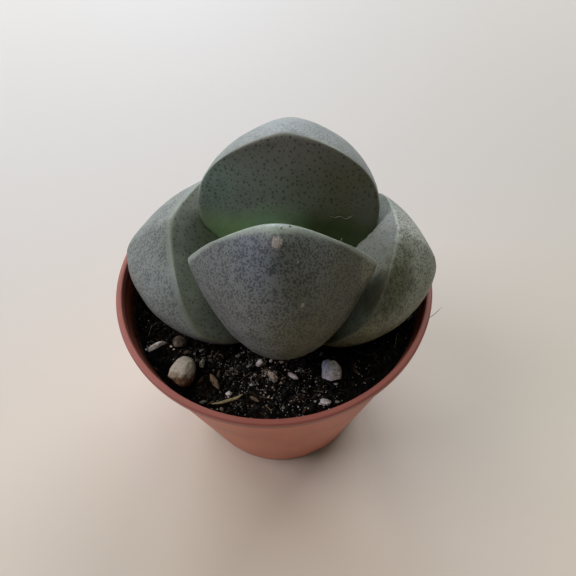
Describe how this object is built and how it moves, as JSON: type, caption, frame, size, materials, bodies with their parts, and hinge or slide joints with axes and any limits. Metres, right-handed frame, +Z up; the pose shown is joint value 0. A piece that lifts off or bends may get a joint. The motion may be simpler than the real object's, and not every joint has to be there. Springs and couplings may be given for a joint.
{
  "type": "potted succulent",
  "caption": "Split rock succulent with thick, speckled, boat-shaped leaves in crossed pairs, growing in dark soil mix in a small tapered plastic plant pot.",
  "frame": {"origin": "centre of the pot's foot ring, on the surface that the pot stands on", "axes": "+Z up along the pot's axis; +Y away from the viewer who faces the back of the front leaf; +X to that viewer's right"},
  "size_m": [0.055, 0.055, 0.0737],
  "materials": {
    "pot": "satin",
    "soil": "matte",
    "stem_and_root": "matte",
    "leaf_front": "satin",
    "leaf_rear": "satin",
    "leaf_left": "satin",
    "leaf_right": "satin",
    "pebble_tan": "matte",
    "clod": "matte",
    "crumb_beige": "matte",
    "bark": "matte",
    "straw": "matte",
    "perlite": "matte"
  },
  "bodies": {
    "root": {"pot": "pot", "soil": "soil", "stem_and_root": "stem_and_root", "leaf_front": "leaf_front", "leaf_rear": "leaf_rear", "leaf_left": "leaf_left", "leaf_right": "leaf_right", "pebble_tan": "pebble_tan", "clod_left": "clod", "crumb_beige": "crumb_beige", "bark_chip_1": "bark", "bark_chip_2": "bark", "straw": "straw", "perlite_large": "perlite", "perlite_long": "perlite", "perlite_small_1": "perlite", "perlite_small_2": "perlite", "perlite_small_3": "perlite", "perlite_small_4": "perlite", "perlite_small_5": "perlite"}
  },
  "joints": []
}
